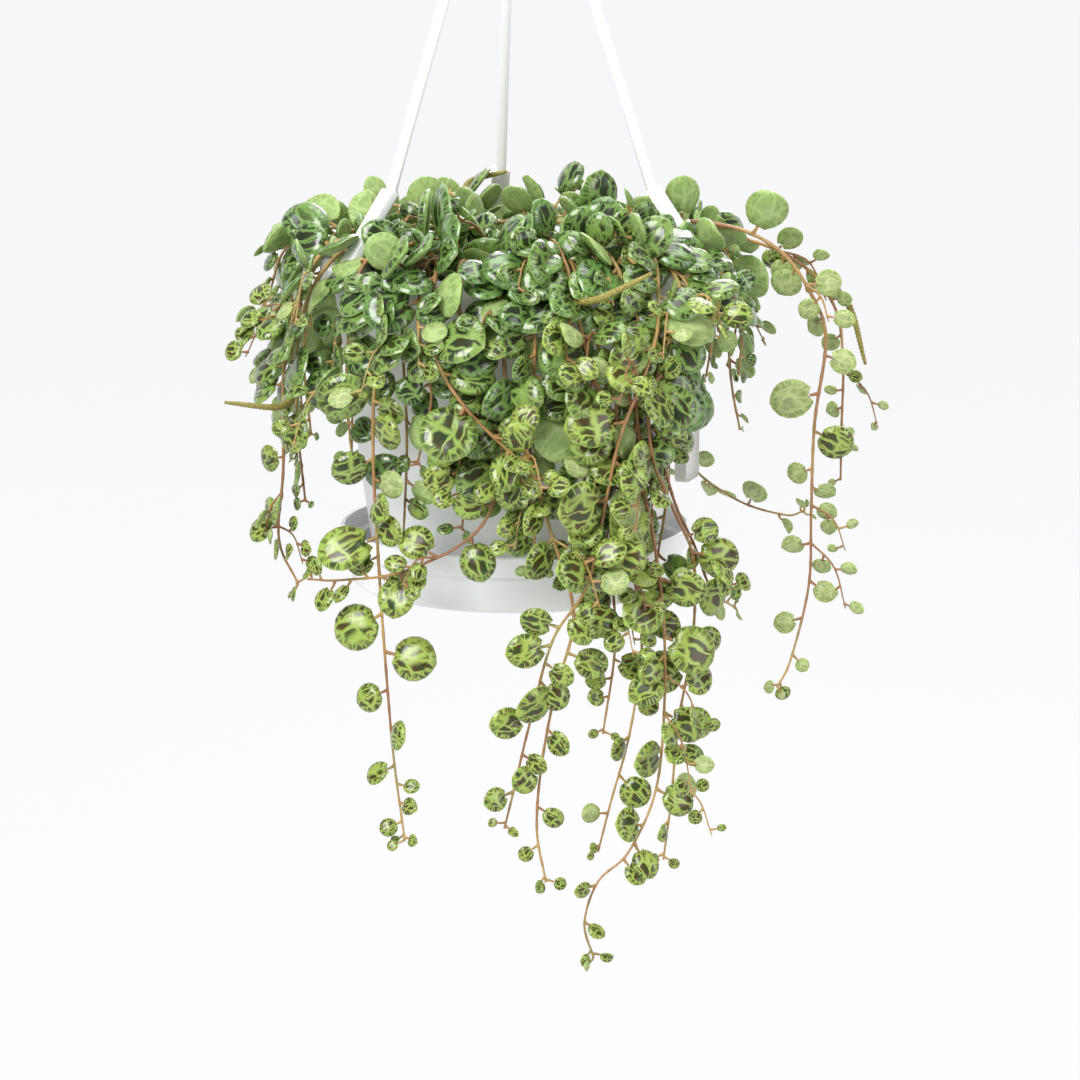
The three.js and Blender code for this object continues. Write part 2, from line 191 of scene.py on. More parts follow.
def bevelled(piece, width, segments, degrees):
    """Rounds every edge that turns by more than this."""
    angle = math.radians(degrees)
    applied(piece, "BEVEL", width=width, segments=segments, limit_method="ANGLE", angle_limit=angle)


def traced(name, points):
    """A chain of edges through the points, drawn by extruding one vertex from place to place."""
    deselect()
    bpy.ops.mesh.primitive_plane_add(size=MM, location=points[0])
    piece = bpy.context.object
    piece.name = name
    bpy.ops.object.transform_apply(location=True, rotation=True, scale=True)
    bpy.ops.object.mode_set(mode="EDIT")
    bpy.ops.mesh.select_all(action="SELECT")
    bpy.ops.mesh.merge(type="CENTER")
    for start, end in itertools.pairwise(points):
        step = Vector(end) - Vector(start)
        bpy.ops.mesh.extrude_region_move(TRANSFORM_OT_translate={"value": step})
    return piece


def turned(name, profile, steps=96):
    """A solid of revolution about Z. The profile is a list of (radius, height) from axis to axis."""
    piece = traced(name, [(radius, 0, height) for radius, height in profile])
    bpy.ops.mesh.select_all(action="SELECT")
    bpy.ops.mesh.spin(steps=steps, angle=2 * math.pi, center=(0, 0, 0), axis=(0, 0, 1))
    bpy.ops.mesh.select_all(action="SELECT")
    bpy.ops.mesh.remove_doubles(threshold=0.01 * MM)
    bpy.ops.mesh.normals_make_consistent(inside=False)
    bpy.ops.object.mode_set(mode="OBJECT")
    return piece


def tube(name, lines, resolution=1):
    """One mesh of round tubes. Each line is a list of (point, radius)."""
    deselect()
    bpy.ops.curve.primitive_nurbs_path_add()
    piece = bpy.context.object
    piece.name = name
    data = piece.data
    data.splines.clear()
    data.dimensions = "3D"
    data.bevel_depth = 1.0
    data.bevel_resolution = resolution
    data.use_fill_caps = True
    data.twist_mode = "MINIMUM"
    for line in lines:
        spline = data.splines.new("POLY")
        spline.points.add(len(line) - 1)
        for point, (place, radius) in zip(spline.points, line):
            point.co = (*place, 1)
            point.radius = radius
    bpy.ops.object.convert(target="MESH")
    return bpy.context.object


def finished(piece, material, nodes):
    """Gives the piece its material, its body and the solids that it stands for."""
    if material:
        piece.data.materials.clear()
        piece.data.materials.append(material)
    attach(piece, BODY)
    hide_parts(*nodes)
    return piece


# ------------------------------------------------------------------------------------- materials


class Shader:
    """A material's node tree with short ways to add and join nodes."""

    def __init__(self, name):
        self.material = bpy.data.materials.new(name)
        self.material.use_nodes = True
        self.tree = self.material.node_tree
        self.bsdf = self.tree.nodes["Principled BSDF"]

    def add(self, kind, inputs=None, **settings):
        node = self.tree.nodes.new(kind)
        for key, value in settings.items():
            setattr(node, key, value)
        for key, value in (inputs or {}).items():
            self.put(node.inputs[key], value)
        return node

    def put(self, socket, value):
        if isinstance(value, bpy.types.NodeSocket):
            self.tree.links.new(value, socket)
        else:
            socket.default_value = value

    def math(self, operation, *values, clamp=False):
        node = self.add("ShaderNodeMath", operation=operation, use_clamp=clamp)
        for socket, value in zip(node.inputs, values):
            self.put(socket, value)
        return node.outputs[0]

    def times(self, first, second):
        return self.math("MULTIPLY", first, second)

    def plus(self, first, second):
        return self.math("ADD", first, second)

    def ramp(self, value, low, high, start=0.0, end=1.0):
        inputs = {"Value": value, "From Min": low, "From Max": high, "To Min": start, "To Max": end}
        node = self.add("ShaderNodeMapRange", inputs, interpolation_type="SMOOTHSTEP")
        return node.outputs[0]

    def mix(self, share, first, second):
        node = self.add("ShaderNodeMix", data_type="RGBA")
        self.put(node.inputs["Factor"], share)
        self.put(node.inputs[6], first)
        self.put(node.inputs[7], second)
        return node.outputs[2]

    def noise(self, vector, scale, detail=3.0, roughness=0.5):
        inputs = {"Vector": vector, "Scale": scale, "Detail": detail, "Roughness": roughness}
        return self.add("ShaderNodeTexNoise", inputs).outputs["Fac"]

    def edges(self, vector, scale, randomness=1.0):
        """How far a point is from the nearest border between random cells."""
        inputs = {"Vector": vector, "Scale": scale, "Randomness": randomness}
        node = self.add("ShaderNodeTexVoronoi", inputs, feature="DISTANCE_TO_EDGE")
        return node.outputs["Distance"]

    def bump(self, height, distance, strength=1.0):
        inputs = {"Height": height, "Distance": distance, "Strength": strength}
        self.put(self.bsdf.inputs["Normal"], self.add("ShaderNodeBump", inputs).outputs[0])

    def vector(self, x, y, z):
        return self.add("ShaderNodeCombineXYZ", {"X": x, "Y": y, "Z": z}).outputs[0]

    def attribute(self, name):
        return self.add("ShaderNodeAttribute", attribute_name=name).outputs["Fac"]

    def object_place(self):
        return self.add("ShaderNodeTexCoord").outputs["Object"]

    def set(self, **values):
        """Sets the shader's own sockets, with _ for a space."""
        for key, value in values.items():
            self.put(self.bsdf.inputs[key.replace("_", " ")], value)


def rgba(colour, gain=1.0):
    return (*(min(1.0, gain * c) for c in colour), 1.0)


def white_plastic(name, colour, roughness):
    """Moulded plastic: a faint cloudiness in its colour, fine haze and a soft orange-peel surface."""
    shader = Shader(name)
    place = shader.object_place()
    cloud = shader.noise(place, 26.0, 4.0)
    shader.set(Base_Color=shader.mix(shader.ramp(cloud, 0.35, 0.7), rgba(colour, 0.965), rgba(colour)))
    haze = shader.noise(place, 160.0, 5.0, 0.65)
    shader.set(Roughness=shader.ramp(haze, 0.25, 0.75, roughness - 0.07, roughness + 0.1))
    shader.bump(shader.noise(place, 420.0, 3.0), 0.06 * MM, 0.35)
    shader.set(Specular_IOR_Level=0.5, Subsurface_Weight=0.08, Subsurface_Scale=2 * MM)
    return shader.material


def label_card(colour):
    shader = Shader("label_card")
    place = shader.object_place()
    grain = shader.noise(place, 900.0, 4.0)
    shader.set(Base_Color=shader.mix(grain, rgba(colour, 0.93), rgba(colour, 1.04)), Roughness=0.62)
    shader.bump(grain, 0.03 * MM, 0.4)
    return shader.material


def soil_mix(colour):
    """Dark peat with paler crumbs and fibres."""
    shader = Shader("soil_mix")
    place = shader.object_place()
    lumps = shader.noise(place, 210.0, 8.0, 0.7)
    crumbs = shader.edges(place, 330.0)
    tone = shader.mix(shader.ramp(lumps, 0.3, 0.75), rgba(colour, 0.45), rgba(colour, 1.9))
    pale = shader.ramp(shader.noise(place, 700.0, 2.0), 0.66, 0.72)
    shader.set(Base_Color=shader.mix(pale, tone, (0.20, 0.14, 0.085, 1)), Roughness=0.93)
    height = shader.plus(lumps, shader.times(crumbs, 0.6))
    shader.bump(height, 1.2 * MM, 0.9)
    return shader.material


def leaf_vein_pattern(shader):
    """The turtle-shell net of a leaf's upper side, 0 in a cell and 1 on a vein. The leaf's own disc
    map gives x from its base, -1, to its tip, +1, and y across. Curved main veins run from base to
    tip, random cells lie between them, and short stripes cross the margin."""
    disc = shader.add("ShaderNodeUVMap", uv_map="leaf_disc").outputs[0]
    split = shader.add("ShaderNodeSeparateXYZ", {"Vector": disc}).outputs
    x = shader.math("MULTIPLY_ADD", split[0], 2.0, -1.0)
    y = shader.math("MULTIPLY_ADD", split[1], 2.0, -1.0)
    seed = shader.times(shader.attribute("leaf_seed"), 60.0)
    x_squared = shader.times(x, x)
    reach = shader.math("SQRT", shader.plus(x_squared, shader.times(y, y)))
    warp_x = shader.math("MULTIPLY_ADD", shader.noise(shader.vector(x, y, seed), 1.9, 1.0), 0.42, -0.21)
    warp_y = shader.math("MULTIPLY_ADD", shader.noise(shader.vector(y, x, seed), 1.9, 1.0), 0.36, -0.18)
    narrowing = shader.math("MULTIPLY_ADD", x_squared, -0.8, 1.0)
    bulge = shader.math("SQRT", shader.math("MAXIMUM", narrowing, 0.05))
    across = shader.plus(shader.math("DIVIDE", y, bulge), warp_y)
    along = shader.plus(x, warp_x)
    side = shader.math("ABSOLUTE", across)
    middle_vein = shader.times(side, 0.9)
    arched_vein = shader.math("ABSOLUTE", shader.math("SUBTRACT", side, 0.56))
    main = shader.times(shader.math("MINIMUM", middle_vein, arched_vein), bulge)
    cells = shader.edges(shader.vector(shader.times(along, 0.85), across, seed), 1.0, 0.85)
    net = shader.math("MINIMUM", main, shader.times(cells, 0.7))
    inner = shader.ramp(net, 0.006, 0.098, 1.0, 0.0)
    angle = shader.times(shader.math("ARCTAN2", y, x), 3.1)
    stripes = shader.edges(shader.vector(angle, shader.times(reach, 1.3), seed), 1.0, 0.8)
    outer = shader.ramp(stripes, 0.03, 0.12, 1.0, 0.0)
    margin = shader.ramp(reach, 0.64, 0.80)
    inner = shader.times(inner, shader.math("MULTIPLY_ADD", margin, -0.55, 1.0))
    pattern = shader.math("ADD", inner, shader.times(outer, margin), clamp=True)
    rim = shader.ramp(reach, 0.94, 0.985)
    return shader.math("MAXIMUM", pattern, rim), reach, seed, (x, y)


def leaf_top(plant):
    """Glossy upper side: lime veins round dark cells on young leaves, deep blue-green on old ones and, as
    painted shade, on leaves deep in the plant.
    """
    shader = Shader("leaf_top")
    veins, reach, seed, (x, y) = leaf_vein_pattern(shader)
    # The age attribute also carries painted shade, so leaves deep in the plant get the darker old colours.
    age_and_shade = shader.attribute("leaf_age_and_shade")
    tint = shader.attribute("leaf_tint")
    vein = shader.mix(age_and_shade, rgba(plant.young_vein), rgba(plant.old_vein))
    vein = shader.mix(shader.times(tint, 0.3), vein, (0.36, 0.42, 0.10, 1))
    cell = shader.mix(age_and_shade, rgba(plant.young_cell), rgba(plant.old_cell))
    blotch = shader.noise(shader.vector(x, y, seed), 2.6, 2.0)
    # Brown blotches fade on old leaves, and on leaves darkened as painted shade deep in the plant.
    young_and_unshaded = shader.math("MULTIPLY_ADD", age_and_shade, -0.65, 0.95)
    brown = shader.times(shader.ramp(blotch, 0.35, 0.60), young_and_unshaded)
    cell = shader.mix(brown, cell, (0.062, 0.036, 0.012, 1))
    fresh = shader.times(shader.ramp(reach, 0.75, 1.0), 0.25)
    cell = shader.mix(fresh, cell, rgba(plant.old_vein))
    shader.set(Base_Color=shader.mix(veins, cell, vein))
    fine = shader.noise(shader.vector(x, y, seed), 34.0, 2.0)
    shader.set(Roughness=shader.math("MULTIPLY_ADD", fine, 0.12, 0.2))
    height = shader.plus(shader.times(veins, -0.3), shader.times(fine, 0.08))
    shader.bump(height, 0.14 * MM, 0.5)
    shader.set(Specular_IOR_Level=0.42, Coat_Roughness=0.11)
    shader.set(Coat_Weight=shader.math("MULTIPLY_ADD", age_and_shade, 0.5, 0.15))
    shader.set(Subsurface_Weight=0.06, Subsurface_Scale=1.2 * MM, Subsurface_Radius=(0.6, 1.0, 0.25))
    return shader.material


def leaf_under(plant):
    """Matt pale underside, with the veins showing through a little."""
    shader = Shader("leaf_under")
    veins, reach, seed, (x, y) = leaf_vein_pattern(shader)
    age_and_shade = shader.attribute("leaf_age_and_shade")
    mottled = shader.noise(shader.vector(x, y, seed), 3.4, 3.0)
    dark, light = rgba(plant.underside, 0.7), rgba(plant.underside, 1.2)
    base = shader.mix(shader.ramp(mottled, 0.3, 0.7), dark, light)
    base = shader.mix(shader.times(veins, 0.6), base, (0.46, 0.55, 0.22, 1))
    base = shader.mix(shader.math("MULTIPLY_ADD", veins, -0.35, 0.35), base, rgba(plant.underside, 0.5))
    centre = shader.ramp(reach, 0.1, 0.9, 0.45, 0.0)
    base = shader.mix(shader.times(centre, mottled), base, (0.62, 0.66, 0.40, 1))
    # Older leaves turn darker below, and so do leaves deep in the plant as painted shade.
    base = shader.mix(shader.times(age_and_shade, 0.3), base, rgba(plant.old_vein, 1.5))
    shader.set(Base_Color=base)
    shader.set(Roughness=shader.math("MULTIPLY_ADD", mottled, 0.2, 0.38))
    shader.bump(shader.times(veins, 0.6), 0.12 * MM, 0.5)
    shader.set(Specular_IOR_Level=0.4)
    shader.set(Subsurface_Weight=0.15, Subsurface_Scale=1.5 * MM, Subsurface_Radius=(0.7, 1.0, 0.25))
    return shader.material


def stem_skin(plant):
    """Stems: reddish brown, golden in stretches, with fine lengthwise flecks."""
    shader = Shader("stem_skin")
    place = shader.object_place()
    stretch = shader.ramp(shader.noise(place, 22.0, 2.0), 0.38, 0.62)
    base = shader.mix(stretch, rgba(plant.stem_red), rgba(plant.stem_gold))
    green = shader.ramp(shader.noise(place, 31.0, 1.0), 0.55, 0.72)
    base = shader.mix(shader.times(green, 0.55), base, (0.30, 0.33, 0.09, 1))
    fleck = shader.noise(place, 950.0, 3.0)
    flecked = shader.mix(shader.ramp(fleck, 0.4, 0.75, 0.0, 0.45), base, (0.16, 0.065, 0.035, 1))
    shader.set(Base_Color=flecked)
    shader.set(Roughness=shader.math("MULTIPLY_ADD", fleck, 0.2, 0.36))
    shader.bump(fleck, 0.1 * MM, 0.5)
    return shader.material


def spike_skin(plant):
    """Flower spikes: close-set golden-green beads, with painted shade in the gaps between them and painted
    light on their middles.
    """
    shader = Shader("spike_skin")
    place = shader.object_place()
    beads = shader.edges(place, 1500.0, 0.6)
    # Painted shade and light: the bead colour darkens towards the gaps and brightens on each bead's
    # middle.
    tone = shader.mix(shader.ramp(beads, 0.02, 0.25), rgba(plant.spike, 0.45), rgba(plant.spike, 1.2))
    shader.set(Base_Color=tone, Roughness=shader.math("MULTIPLY_ADD", beads, 0.2, 0.5))
    shader.bump(beads, 0.5 * MM, 0.8)
    return shader.material


# ------------------------------------------------------------------------------- the plant's form

# The plant is described in millimetres, as its solids are: a place is a bearing in degrees from the
# front towards +X, a distance from the pot's axis and a height over the rim.
SOIL_CENTRE = -8
SOIL_FALL = 6
SOIL_GAP = 0.4

TRAILS = {
    "left_short": (
        8,
        [
            (-93, 32), (-92, 54, 9), (-91, 70, 9), (-92, 80, 2), (-93, 85, -12),
        ],
    ),
    "left": (
        8.5,
        [
            (-72, 34), (-71, 54, 9), (-69, 72, 2), (-66, 84, -28), (-65, 86, -66), (-69, 86, -92),
            (-58, 86, -104),
        ],
    ),
    "front_left": (
        9,
        [
            (-38, 30), (-37, 53, 10), (-35, 71, 4), (-32, 80, -8), (-33, 84, -44), (-31, 86, -90),
            (-28, 86, -150), (-25, 86, -184),
        ],
    ),
    "front_sweep": (
        8,
        [
            (-7, 40), (-6, 56, 8), (-4, 71, 2), (-2, 79, -38), (-6, 84, -74), (-22, 88, -91),
            (-38, 91, -97), (-48, 92, -99),
        ],
    ),
    "front_cross": (
        8.5,
        [
            (38, 24), (39, 51, 12), (40, 70, 8), (36, 80, -4), (32, 87, -16), (27, 90, -31),
            (22, 91, -48), (19, 92, -67), (15, 92, -95), (8, 91, -113), (3, 88, -144),
            (0, 88, -164), (-2, 88, -177),
        ],
    ),
    "front_slant": (
        9,
        [
            (-24, 36), (-23, 55, 9), (-21, 70, 4), (-18, 82, -20), (-10, 86, -38), (3, 87, -58),
            (8, 87, -78), (13, 87, -106), (9, 87, -131), (6, 87, -156), (5, 87, -178),
            (7, 87, -196),
        ],
    ),
    "middle": (
        8,
        [
            (24, 30), (24, 53, 10), (24, 70, 3), (25, 79, -30), (23, 81, -83), (24, 82, -117),
            (21, 82, -148),
        ],
    ),
    "bundle": (
        8.5,
        [
            (29, 40), (29, 56, 8), (29, 71, 3), (28, 79, -15), (30, 81, -50), (28, 82, -85),
            (31, 82, -118), (28, 82, -148), (23, 82, -172), (20, 82, -188),
        ],
    ),
    "longest": (
        9,
        [
            (12, 30), (13, 52, 12), (14, 71, 6), (15, 79, -8), (18, 84, -29), (23, 85, -49),
            (29, 86, -66), (32, 87, -85), (34, 88, -110), (34, 89, -137), (32, 89, -167),
            (25, 90, -187), (18, 90, -196), (15, 90, -210), (17, 90, -222),
        ],
    ),
    "front_right": (
        8.5,
        [
            (49, 30), (47, 52, 11), (45, 71, 5), (42, 82, -8), (36, 82, -24), (32, 83, -40),
            (32, 86, -57), (37, 87, -74), (43, 87, -92), (43, 87, -119), (39, 87, -146),
            (37, 87, -173), (35, 87, -193),
        ],
    ),
    "right_low": (
        7.5,
        [
            (59, 38), (56, 55, 8), (50, 71, 3), (42, 78, -14), (38, 79, -32), (37, 80, -52),
            (40, 82, -72), (46, 83, -88), (52, 84, -105), (62, 85, -114),
        ],
    ),
    "right_long": (
        9,
        [
            (82, 26), (81, 52, 12), (78, 74, 13), (75, 92, 6), (75, 103, -8), (77, 108, -24),
            (73, 106, -52), (74, 105, -82), (73, 105, -108), (67, 102, -132), (63, 100, -140),
        ],
    ),
    "right_outer": (
        6,
        [
            (92, 34), (91, 54, 9), (89, 76, 8), (87, 98, -1), (86, 110, -16), (85, 113, -34),
            (86, 113, -56), (86, 113, -76),
        ],
    ),
    "back_right": (
        6,
        [
            (118, 36), (118, 56, 8), (117, 74, 2), (116, 82, -14), (115, 85, -48), (114, 88, -66),
        ],
    ),
    "back_sweep": (
        7.5,
        [
            (146, 30), (144, 54, 10), (142, 74, 3), (138, 80, -38), (133, 84, -78), (121, 92, -93),
            (110, 103, -97), (105, 107, -94),
        ],
    ),
}

# The leaves of these strands turn towards this bearing, and the others outwards.
FACING = {"right_long": 165, "right_outer": 150}

# Shorter strands all round the rim: bearing and fall.
SKIRT = [
    (-84, 50), (-78, 66), (-62, 78), (-46, 62), (-29, 84), (-25, 58), (-15, 80), (1, 70), (12, 96),
    (36, 104), (56, 34), (73, 36), (99, 30), (106, 40), (112, 30), (126, 54), (134, 84), (153, 70),
    (161, 104), (170, 92), (177, 118), (195, 96), (204, 112), (213, 88), (222, 60), (232, 78),
    (243, 52), (256, 64), (17, 104), (6, 92),
]

# Strands that stay on top: bearing and reach.
CROWN = [(-50, 46), (-22, 47), (66, 40), (105, 52), (158, 54), (207, 52), (247, 55)]

# Flower spikes: the joint that each grows from and the places that it passes.
SPIKES = {
    "skirt_03": (6, [(-57, 92, -43), (-58, 112, -40)]),
    "longest": (5, [(18, 90, -2), (27, 97, 6)]),
    "skirt_12": (3, [(48, 87, -13), (34, 88, -17)]),
    "right_outer": (6, [(87, 114, -14), (88, 121, -36)]),
    "crown_6": (3, [(200, 48, 22), (184, 44, 26)]),
}


def dice(seed):
    """The same numbers from 0 to 1 for the same seed."""
    mask = 0xFFFFFFFF
    state = (seed * 2654435761) & mask

    def roll():
        nonlocal state
        state = (state + 0x6D2B79F5) & mask
        t = ((state ^ (state >> 15)) * (state | 1)) & mask
        t ^= (t + (((t ^ (t >> 7)) * (t | 61)) & mask)) & mask
        return ((t ^ (t >> 14)) & mask) / 4294967296

    return roll


def soil_height(radius, top=63.5):
    return SOIL_CENTRE - SOIL_FALL * (radius / top) ** 2


def around(bearing, radius, height=None):
    """A place on the plant, in metres in the object's own frame."""
    angle = math.radians(bearing)
    if height is None:
        height = soil_height(radius) + SOIL_GAP
    x, y = radius * math.sin(angle), -radius * math.cos(angle)
    return Vector((x * MM, y * MM, RIM_Z + height * MM))


class Route:
    """A smooth curve through points, which is walked by distance."""

    def __init__(self, points):
        self.points = points
        samples = [self.at(i / 200) for i in range(201)]
        steps = [(b - a).length for a, b in itertools.pairwise(samples)]
        self.marks = [0.0, *itertools.accumulate(steps)]
        self.length = self.marks[-1]

    def at(self, t):
        last = len(self.points) - 1
        place = last * t
        i = min(int(place), last - 1)
        w = place - i
        p1, p2 = self.points[i], self.points[i + 1]
        p0 = self.points[i - 1] if i else 2 * p1 - p2
        p3 = self.points[i + 2] if i + 2 <= last else 2 * p2 - p1
        t0, t1 = 0.5 * (p2 - p0), 0.5 * (p3 - p1)
        return p1 + w * t0 + w * w * (3 * (p2 - p1) - 2 * t0 - t1) + w**3 * (2 * (p1 - p2) + t0 + t1)

    def along(self, share):
        """The point at this share of the curve's length."""
        goal = min(max(share, 0.0), 1.0) * self.length
        i = int(np.searchsorted(self.marks, goal, side="right")) - 1
        i = min(i, 199)
        part = (goal - self.marks[i]) / (self.marks[i + 1] - self.marks[i])
        return self.at((i + part) / 200)


class Strand:
    def __init__(self, name, leaf, route, seed, spacing):
        self.name = name
        self.leaf = leaf
        self.seed = seed
        self.route = Route([around(*place) for place in route])
        self.steps = math.floor(self.route.length / spacing + 0.5)
        self.joints = [self.route.along(i / self.steps) for i in range(self.steps + 1)]
        count = max(12, round(self.route.length / (2.5 * MM)))
        self.path = [self.route.along(i / count) for i in range(count + 1)]


def all_strands(spacing):
    """Every strand of the plant, in the order that its seeds are counted."""
    rows = [(name, leaf, route) for name, (leaf, route) in TRAILS.items()]
    for i, (bearing, fall) in enumerate(SKIRT):
        sway = 20 * (dice(100 + i)() - 0.5)
        out = 74 + 2.6 * (i % 3)
        route = [(bearing, 50), (bearing, 60, 6), (bearing, 70, 2.5), (bearing + 0.4 * sway, out, -15)]
        route += [(bearing + sway, out + 1, -0.6 * fall), (bearing + 0.3 * sway, out, -fall)]
        rows.append((f"skirt_{i + 1:02d}", 9, route))
    for i, (bearing, reach) in enumerate(CROWN):
        route = [(bearing, 14), (bearing, 22, 6), (bearing, 0.5 * (22 + reach), 15), (bearing, reach, 18)]
        rows.append((f"crown_{i + 1}", 8.5, route))
    return [Strand(*row, seed, spacing) for seed, row in enumerate(rows)]


# How far leaves turn upwards, where 0.8 is how far they turn outwards.
LIFT = 0.4
CREEPING_LIFT = 1.3


def leaf_place(stem, along, side_sign, size, facing, roll, lift=LIFT):
    """Where one leaf sits: its stem point, the way it points, its upper side, radius and stalk."""
    outward = around(facing, 1, 0) if facing else stem
    light = 0.8 * Vector((outward.x, outward.y, 0)).normalized() + Vector((0, 0, lift))
    jitter = Vector((roll() - 0.5, roll() - 0.5, roll() - 0.5))
    lean = (0.3 + 0.5 * abs(along.z)) * light.dot(along)
    up = (light - lean * along + 0.65 * jitter).normalized()
    side = along.cross(up).normalized() * side_sign + (0.2 + 0.5 * roll()) * along
    side = (side + (0.15 + 0.3 * roll()) * up).normalized()
    face = (up - up.dot(side) * side).normalized()
    radius = size * (0.62 + 0.48 * roll()) * MM
    stalk = (1.5 + 1.5 * roll()) * MM
    return stem, side, face, radius, stalk


class Foliage:
    """Keeps the leaves that are already placed, so that new ones turn out of their way."""

    RIM = np.array([(math.cos(a), math.sin(a)) for a in np.linspace(0, 2 * math.pi, 9)[:-1]])

    def __init__(self, strands):
        self.centres = np.zeros((0, 3))
        self.faces = np.zeros((0, 3))
        self.radii = np.zeros(0)
        self.stems = np.array([p for strand in strands for p in strand.path])

    def ring(self, centre, side, face, radius):
        across = np.cross(face, side)
        spread = radius * (self.RIM[:, :1] * side + self.RIM[:, 1:] * across)
        return centre + np.vstack([spread, 0.5 * spread[::2], [(0, 0, 0)]])

    def in_hardware(self, points):
        """Which points are in the pot, the soil or the saucer."""
        rho = np.hypot(points[:, 0], points[:, 1]) / MM
        z = (points[:, 2] - RIM_Z) / MM
        wall = np.where(z > -8, 67.6, 64.0 + 14 * z / 106)
        filled = (rho > 61.5) | (z < soil_height(rho) + 0.5)
        pot = (z < 0.4) & (z > -106) & (rho < wall) & filled
        saucer = (z < -91.6) & (z > -112.4) & (rho < 61.6)
        return pot | saucer

    def over_label(self, points):
        """Which points hide the care label from the front."""
        x, y, z = points.T / MM
        height = z - RIM_Z / MM
        return (y < -20) & (x > 47) & (x < 64) & (height > -90) & (height < -60)

    def trouble(self, stem, side, face, radius, stalk):
        centre = stem + (stalk + radius) * side
        points = self.ring(centre, side, face, radius)
        score = 1.5 * self.in_hardware(points).sum() + self.over_label(points).sum()
        near = np.linalg.norm(self.stems - centre, axis=1) < radius + MM
        near &= np.linalg.norm(self.stems - stem, axis=1) > 2.2 * MM
        if near.any():
            offset = self.stems[near] - centre
            height = offset @ face
            reach = np.linalg.norm(offset - np.outer(height, face), axis=1)
            score += 0.6 * ((np.abs(height) < 0.9 * MM + 0.1 * radius) & (reach < 0.95 * radius)).sum()
        if len(self.radii):
            close = np.linalg.norm(self.centres - centre, axis=1) < self.radii + radius
            for c, n, r in zip(self.centres[close], self.faces[close], self.radii[close]):
                offset = points - c
                height = offset @ n
                inside = np.linalg.norm(offset - np.outer(height, n), axis=1) < r
                if inside.any():
                    over = (height[inside] > -0.1 * r).mean()
                    score += 4 * min(over, 1 - over) + (np.abs(height[inside]) < 0.14 * r).sum() * 0.5
        return score

    def add(self, stem, side, face, radius, stalk):
        self.centres = np.vstack([self.centres, stem + (stalk + radius) * side])
        self.faces = np.vstack([self.faces, face])
        self.radii = np.append(self.radii, radius)


